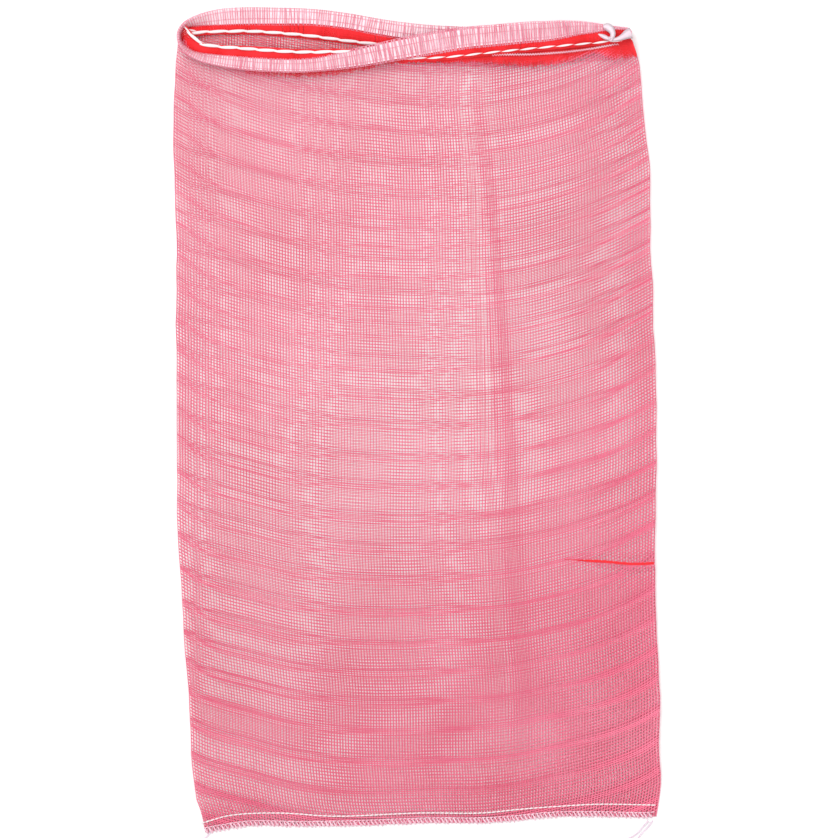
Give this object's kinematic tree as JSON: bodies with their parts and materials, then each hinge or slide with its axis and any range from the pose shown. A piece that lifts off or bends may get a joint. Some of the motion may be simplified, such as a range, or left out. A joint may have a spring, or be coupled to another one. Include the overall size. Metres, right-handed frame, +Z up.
{
  "type": "mesh produce bag",
  "caption": "Flat tubular knitted mesh sack with a drawstring in a turned-over hem, closed by an overlocked seam at the bottom.",
  "frame": {"origin": "the middle of the underside, on the surface that the flat bag lies on", "axes": "+Y towards the mouth, +Z up away from the surface, +X to the side where the knot is"},
  "size_m": [0.4504, 0.7891, 0.0166],
  "materials": {
    "mesh": "warp-knitted polyethylene tape yarn, slight sheen",
    "hem_fabric": "doubled knitted mesh",
    "tape": "flat white woven polypropylene tape",
    "hem_thread": "white sewing thread",
    "seam_thread": "white sewing thread"
  },
  "bodies": {
    "bag": {"mesh_body": "mesh", "mouth_hem": "hem_fabric", "drawstring_loop": "tape", "drawstring_neck": "tape", "hem_needle_thread": "hem_thread", "hem_looper_thread": "hem_thread", "seam_needle_thread": "seam_thread", "seam_looper_thread": "seam_thread", "overlock_needle_thread": "seam_thread", "overlock_upper_looper": "seam_thread", "overlock_lower_looper": "seam_thread", "thread_tail_left": "seam_thread", "thread_tail_right_a": "seam_thread", "thread_tail_right_b": "seam_thread"},
    "drawstring_end": {"drawstring_knot": "tape", "drawstring_stub": "tape", "drawstring_tail": "tape"}
  },
  "joints": [
    {"name": "drawstring_pull", "type": "slide", "parent": "bag", "child": "drawstring_end", "axis": [1, 0, 0], "range_m": [0, 0.05], "deforming": ["drawstring_neck"]}
  ]
}
